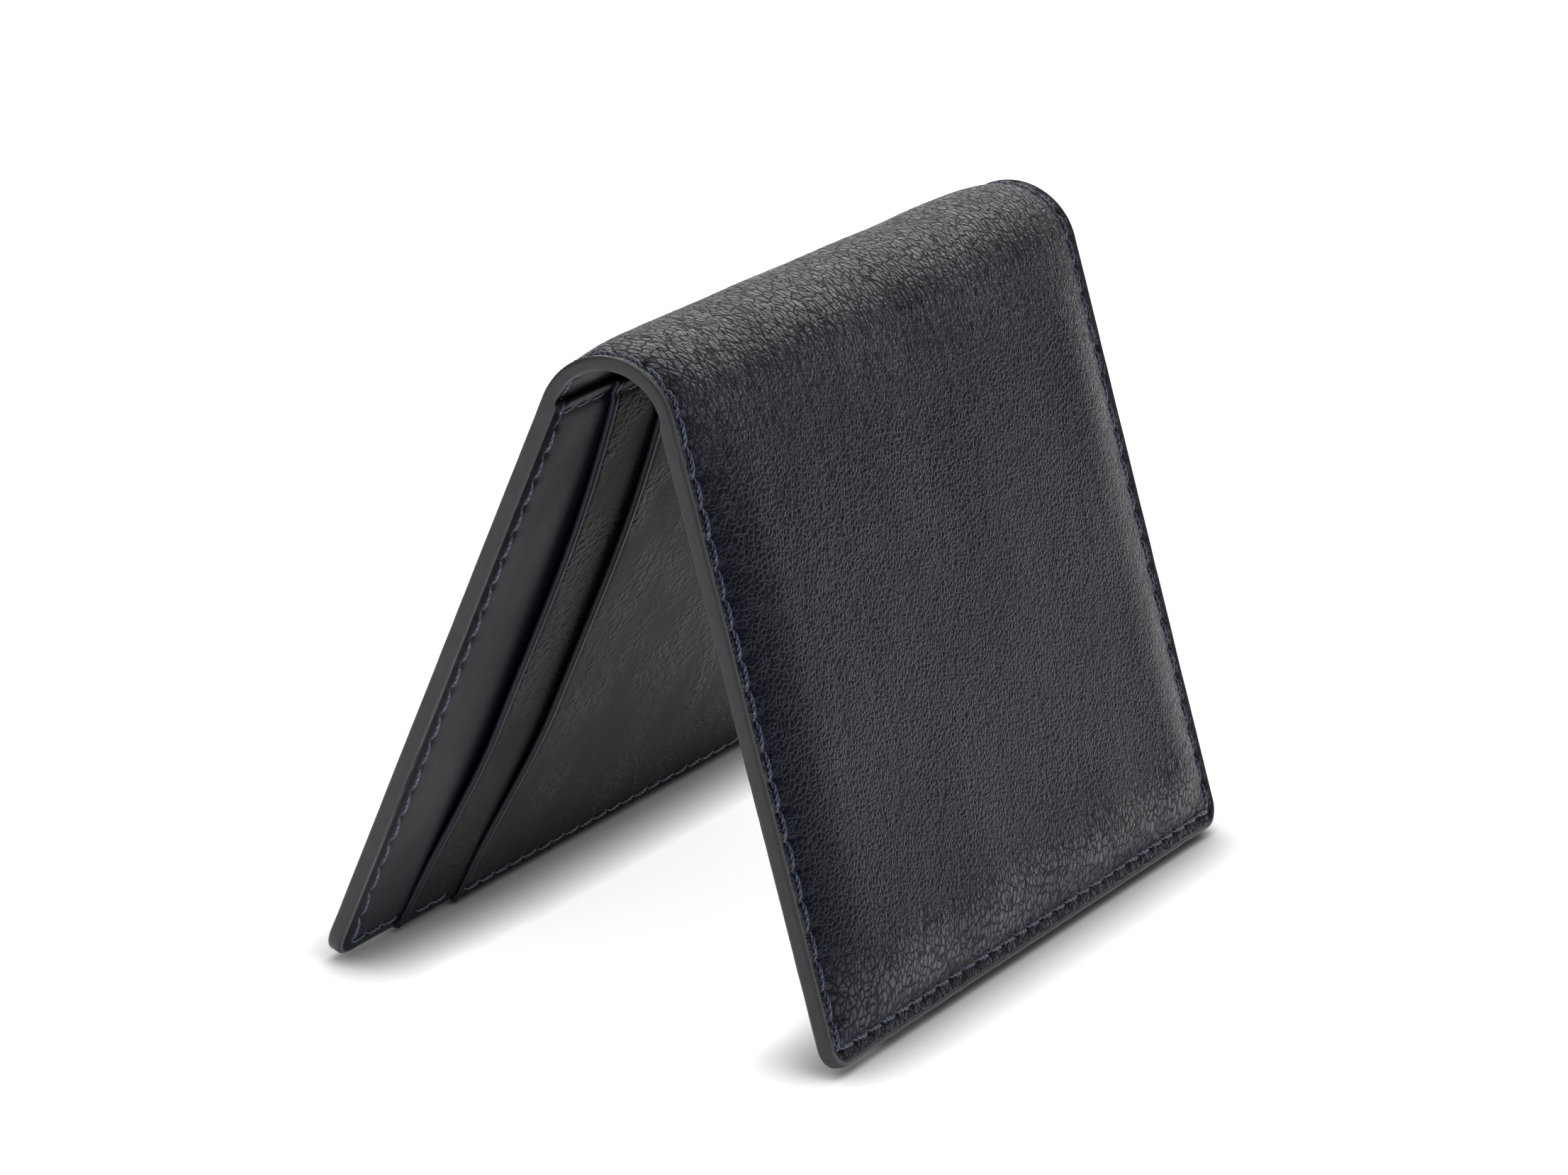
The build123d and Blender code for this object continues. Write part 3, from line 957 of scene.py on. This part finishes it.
def cover_leather():
    """Navy pebbled leather: long cells over the ridge, fine ones and stray wrinkles below, and a pinkish painted
    sheen on the tops of the open pebbles.
    """
    g = Graph("pebbled_navy_leather")
    opened = g.mark()
    fine = g.cells(g.wander(g.place((1.10, 1.0, 1.0)), 0.7, 0.35), 1.35)
    fine_line = crease_line(g, fine, 0.075)
    coarse = g.cells(g.wander(g.place((0.75, 1.0, 1.0)), 0.35, 1.1), 1.10)
    coarse_line = crease_line(g, coarse, 0.10)
    patchy = g.ramp(g.noise(g.place((0.8, 1.0, 1.0)), 0.40, 2.0), 0.38, 0.60, 0.25, 1.0)
    contour = g.noise(g.wander(g.place((0.26, 0.055, 1.0), 0.12), 3.0, 0.10), 1.0, 3.0, 0.55)
    contour = g.math("ABSOLUTE", g.math("SUBTRACT", contour, 0.5))
    stray = g.ramp(g.noise(g.place((1.0, 0.8, 1.0)), 0.16, 2.0), 0.48, 0.62)
    broken = g.ramp(g.noise(g.place(), 0.9, 2.0), 0.40, 0.55)
    stray = g.math("MULTIPLY", stray, broken)
    stray = g.math("MULTIPLY", stray, g.ramp(opened, 0.2, 0.7, 1.0, 0.0))
    long_line = g.math("MULTIPLY", crease_line(g, contour, 0.012), stray)
    fine_share = g.math("MULTIPLY", fine_line, patchy)
    fine_share = g.math("MULTIPLY", fine_share, g.ramp(opened, 0.2, 0.9, 0.65, 0.4))
    pale_line = g.math("MAXIMUM", fine_share, long_line)
    coarse_share = g.math("MULTIPLY", coarse_line, g.ramp(opened, 0.15, 0.75, 0.0, 1.0))
    line = g.math("MAXIMUM", pale_line, coarse_share)
    dome = g.math("MULTIPLY", g.ramp(coarse, 0.0, 0.3, 0.0, 0.8), opened)
    pebble = g.math("ADD", dome, g.ramp(fine, 0.0, 0.30, 0.0, 0.55))
    pores = g.noise(g.place(), 4.0, 2.0)
    height = g.math("SUBTRACT", g.math("MULTIPLY_ADD", pores, 0.2, pebble), line)
    height = g.math("MULTIPLY", height, g.ramp(opened, 0.1, 0.9, 1.0, 1.35))
    clouds = g.noise(g.place(), 0.05, 3.0, 0.5)
    mottle = g.noise(g.place(), 1.1, 2.0, 0.6)
    tone = g.math("MULTIPLY_ADD", g.math("SUBTRACT", mottle, 0.5), 1.6, clouds, clamp=True)
    base = g.mix(tone, (0.0036, 0.0038, 0.0092, 1), (0.0085, 0.0090, 0.0165, 1))
    # Painted sheen: the tops of the open pebbles are coloured a pale pinkish grey, standing for light shining on
    # them.
    painted_sheen = g.math("MULTIPLY", dome, opened)
    painted_sheen = g.math("MULTIPLY", painted_sheen, g.ramp(clouds, 0.35, 0.6, 0.4, 1.0))
    base = g.mix(painted_sheen, base, (0.135, 0.118, 0.137, 1))
    pale = g.math("MULTIPLY", pale_line, g.ramp(opened, 0.3, 0.9, 1.0, 0.35))
    colour = g.mix(pale, base, (0.031, 0.033, 0.052, 1))
    rough = g.math("MULTIPLY_ADD", line, 0.35, g.ramp(tone, 0.1, 0.9, 0.34, 0.25))
    return g.finish(colour, rough, g.bump(height, 0.054), Specular_IOR_Level=0.185,
                    Specular_Tint=(0.88, 0.89, 1.0, 1))


def smooth_leather():
    """The base panel's leather: nearly smooth, with a soft polish."""
    g = Graph("smooth_navy_leather")
    cells = g.cells(g.wander(g.place(), 1.0, 0.5), 1.9)
    fibre = g.noise(g.place(), 7.0, 3.0)
    height = g.math("MULTIPLY_ADD", fibre, 0.5, g.ramp(cells, 0.0, 0.3))
    clouds = g.noise(g.place(), 0.08, 3.0, 0.5)
    colour = g.mix(clouds, (0.0056, 0.0052, 0.0105, 1), (0.0086, 0.0080, 0.0148, 1))
    rough = g.ramp(clouds, 0.3, 0.7, 0.52, 0.45)
    return g.finish(colour, rough, g.bump(height, 0.014), Specular_IOR_Level=0.16)


def grained_leather():
    """The pockets' leather: soft pebbles with painted highlights on their tops, a smooth dark lip with a painted
    highlight along its very edge, and a pale crease beside it.
    """
    g = Graph("fine_grain_navy_leather")
    cells = g.cells(g.wander(g.place((1.0, 0.5, 1.0)), 0.6, 0.25), 1.05)
    lumps = g.noise(g.place((1.0, 0.5, 1.0)), 0.9, 2.0, 0.5)
    fibre = g.noise(g.place(), 7.0, 3.0)
    clouds = g.noise(g.place(), 0.08, 3.0, 0.5)
    patchy = g.ramp(clouds, 0.44, 0.60, 0.2, 1.0)
    lip = g.ramp(g.mark(), 0.1, 0.55)
    # edge is where a highlight is painted along the mouth's very edge.
    edge = g.ramp(g.mark(), 0.65, 1.0)
    crease = g.ramp(g.mark(), -0.7, -0.1, 1.0, 0.0)
    raised = g.ramp(lumps, 0.38, 0.62)
    height = g.math("MULTIPLY_ADD", g.ramp(cells, 0.0, 0.28), 0.8, g.math("MULTIPLY", raised, 0.6))
    height = g.math("MULTIPLY_ADD", fibre, 0.06, height)
    plain = g.math("SUBTRACT", 1.0, g.math("MAXIMUM", lip, crease))
    raised_share = g.math("MULTIPLY", patchy, g.math("MULTIPLY_ADD", plain, 0.9, 0.1))
    height = g.math("MULTIPLY", height, raised_share)
    base = g.mix(clouds, (0.0042, 0.0034, 0.0030, 1), (0.0066, 0.0053, 0.0047, 1))
    # Painted highlight: the tops of the raised lumps are coloured paler and warmer, as if lit.
    share = g.math("MULTIPLY", g.ramp(lumps, 0.52, 0.70), patchy)
    painted_tip_highlights = g.mix(share, base, (0.019, 0.0145, 0.0125, 1))
    lipped = g.mix(lip, painted_tip_highlights, (0.0070, 0.0075, 0.0130, 1))
    # Painted highlight: a pale blue-grey line along the mouth's very edge.
    painted_edge_highlight = g.mix(edge, lipped, (0.045, 0.048, 0.066, 1))
    colour = g.mix(g.math("MULTIPLY", crease, g.ramp(fibre, 0.3, 0.6, 0.5, 1.0)), painted_edge_highlight,
                   (0.090, 0.084, 0.090, 1))
    rough = g.ramp(clouds, 0.3, 0.7, 0.58, 0.48)
    rough = g.math("MULTIPLY_ADD", lip, -0.15, rough)
    return g.finish(colour, rough, g.bump(height, 0.11), Specular_IOR_Level=0.09)


def lining_leather():
    """The lining: dark, matt and nearly smooth."""
    g = Graph("dark_lining_leather")
    grain = g.ramp(g.cells(g.wander(g.place((1.0, 0.8, 1.0)), 1.1, 0.6), 1.5), 0.0, 0.25)
    fibre = g.noise(g.place(), 8.0, 4.0)
    height = g.math("MULTIPLY_ADD", fibre, 0.4, grain)
    clouds = g.noise(g.place(), 0.15, 4.0)
    colour = g.mix(clouds, (0.010, 0.0095, 0.009, 1), (0.018, 0.017, 0.016, 1))
    return g.finish(colour, g.ramp(clouds, 0.3, 0.7, 0.62, 0.5), g.bump(height, 0.035))


def edge_paint():
    """Dark grey edge paint, uneven from the brush, rubbed paler along its shoulders, where the paleness is also a
    painted highlight.
    """
    g = Graph("matt_grey_edge_paint")
    streaks = g.noise(g.place((0.35, 2.0, 1.0)), 1.3, 3.0)
    specks = g.noise(g.place(), 6.0, 2.0)
    height = g.math("MULTIPLY_ADD", specks, 0.25, streaks)
    painted = g.mix(streaks, (0.019, 0.019, 0.0205, 1), (0.029, 0.029, 0.0305, 1))
    # The shoulders are rubbed paler, and this paleness is partly a painted highlight.
    rubbed_and_highlit = g.math("MULTIPLY", g.mark(), g.ramp(specks, 0.3, 0.6, 0.35, 0.8))
    colour = g.mix(rubbed_and_highlit, painted, (0.13, 0.13, 0.132, 1))
    rough = g.ramp(streaks, 0.3, 0.7, 0.46, 0.36)
    return g.finish(colour, rough, g.bump(height, 0.03), Specular_IOR_Level=0.4)


def sewing_thread():
    """Plied navy thread with pale fibres that are partly painted highlights, painted shade between its plies, and
    a warm fleck of wax where it enters a hole.
    """
    g = Graph("navy_sewing_thread")
    fibre = g.noise(g.place((2.0, 2.0, 0.0)), 4.5, 3.0)
    source = g.node("ShaderNodeAttribute", attribute_name="grain").outputs["Vector"]
    dip = g.node("ShaderNodeSeparateXYZ", {"Vector": source}).outputs["Z"]
    fleck = g.noise(g.place((1.0, 1.0, 0.0)), 1.7, 2.0)
    at_hole = g.math("MULTIPLY", g.ramp(dip, 0.12, 0.4), g.ramp(fleck, 0.56, 0.66))
    strand = g.ramp(g.mark(), -0.7, 0.6)
    # The pale streaks are partly the thread's fibres and partly painted highlights.
    navy = g.mix(g.ramp(fibre, 0.33, 0.68), (0.020, 0.030, 0.080, 1), (0.16, 0.205, 0.345, 1))
    # Painted shade: the valleys between the plies are coloured near black.
    painted_ply_shade = g.mix(strand, (0.005, 0.007, 0.016, 1), navy)
    colour = g.mix(at_hole, painted_ply_shade, (0.20, 0.09, 0.04, 1))
    return g.finish(colour, g.ramp(fibre, 0.3, 0.7, 0.36, 0.26), g.bump(fibre, 0.05),
                    Sheen_Weight=0.2)


def filler_board():
    """The bonded leather fibre board inside a panel."""
    g = Graph("leather_fibre_board")
    where = g.node("ShaderNodeTexCoord").outputs["Object"]
    fibres = g.noise(where, 900.0, 4.0, 0.65, 0.8)
    clumps = g.noise(where, 160.0, 3.0)
    colour = g.mix(fibres, (0.19, 0.14, 0.09, 1), (0.33, 0.25, 0.17, 1))
    height = g.math("MULTIPLY_ADD", clumps, 0.5, fibres)
    return g.finish(colour, g.ramp(clumps, 0.3, 0.7, 0.85, 0.7), g.bump(height, 0.08))


def floor_paper():
    """White studio paper, lit a little from below, with a soft shadow where things touch it."""
    g = Graph("white_studio_floor")
    where = g.node("ShaderNodeTexCoord").outputs["Object"]
    tooth = g.noise(where, 30.0, 2.0)
    colour = g.mix(tooth, (0.86, 0.86, 0.86, 1), (0.88, 0.88, 0.88, 1))
    shadow_reach = 9.5 * MM
    near = g.node("ShaderNodeAmbientOcclusion", {"Distance": shadow_reach}, samples=12)
    clear = g.math("POWER", near.outputs["AO"], 2.2)
    colour = g.mix(clear, (0.30, 0.30, 0.30, 1), colour)
    glow = g.mix(clear, (0.0, 0.0, 0.0, 1), (0.985, 0.98, 1.0, 1))
    return g.finish(colour, g.ramp(tooth, 0.0, 1.0, 0.8, 0.9), g.bump(tooth, 0.02),
                    Specular_IOR_Level=0.0, Emission_Color=glow, Emission_Strength=0.86)


# ---------------------------------------------------------------- stage, lights, camera


def make_floor():
    """A plain pale floor."""
    half = 4.0
    mesh = bpy.data.meshes.new("floor")
    corners = [(-half, -half, 0), (half, -half, 0), (half, half, 0), (-half, half, 0)]
    mesh.from_pydata(corners, [], [(0, 1, 2, 3)])
    mesh.materials.append(floor_paper())
    floor = bpy.data.objects.new("floor", mesh)
    bpy.context.scene.collection.objects.link(floor)


def make_light(name, location, size, radiance):
    """A soft rectangular lamp that faces the wallet."""
    data = bpy.data.lights.new(name, "AREA")
    data.shape = "RECTANGLE"
    data.size, data.size_y = size
    data.energy = radiance * pi * size[0] * size[1]
    lamp = bpy.data.objects.new(name, data)
    bpy.context.scene.collection.objects.link(lamp)
    lamp.location = location
    lamp.rotation_mode = "QUATERNION"
    middle = (cad_low + cad_high) / 2
    lamp.rotation_quaternion = (middle - Vector(location)).to_track_quat("-Z", "Y")


def make_lights():
    """A broad lamp behind the fold, one overhead, a low one in front, and a pale room."""
    make_light("behind", (-0.30, 1.15, 0.62), (1.3, 0.7), 2.5)
    make_light("overhead", (0.0, 0.1, 0.95), (0.9, 0.9), 1.0)
    make_light("front_low", (-0.35, -1.4, 0.75), (1.2, 0.8), 2.4)
    world = bpy.data.worlds.new("pale_room")
    world.use_nodes = True
    world.node_tree.nodes["Background"].inputs["Color"].default_value = (0.9, 0.92, 0.95, 1)
    world.node_tree.nodes["Background"].inputs["Strength"].default_value = 0.13
    bpy.context.scene.world = world
    bpy.context.scene.view_settings.view_transform = "Standard"


def make_camera():
    """The camera, at the viewing angle of a product picture taken from the near right."""
    azimuth, elevation, roll = radians(25.884), radians(16.842), radians(3.479)
    distance = 808.0
    aim = (cad_low + cad_high) / 2 + Vector((-2.19, -1.28, -0.64)) * MM
    back = Vector((sin(azimuth) * cos(elevation), -cos(azimuth) * cos(elevation), sin(elevation)))
    data = bpy.data.cameras.new("camera")
    data.lens = 159.744
    data.sensor_width = 36.0
    data.clip_start = 0.01
    data.clip_end = 20.0
    camera = bpy.data.objects.new("camera", data)
    bpy.context.scene.collection.objects.link(camera)
    camera.location = aim + back * distance * MM
    camera.rotation_mode = "QUATERNION"
    facing = (-back).to_track_quat("-Z", "Y")
    camera.rotation_quaternion = facing @ Quaternion((0, 0, 1), roll)
    bpy.context.scene.camera = camera


def finish_fillers(material):
    """The CAD boards stay, hidden inside the covers, with their own material."""
    for name in SIDES.values():
        board = frame["nodes"][f"{name}_filler"]
        board.data.materials.clear()
        board.data.materials.append(material)


make_camera()
make_floor()
make_lights()
make_cover(cover_leather())
make_lining(lining_leather())
make_edges(edge_paint())
make_pockets(smooth_leather(), grained_leather())
make_stitches(sewing_thread())
finish_fillers(filler_board())
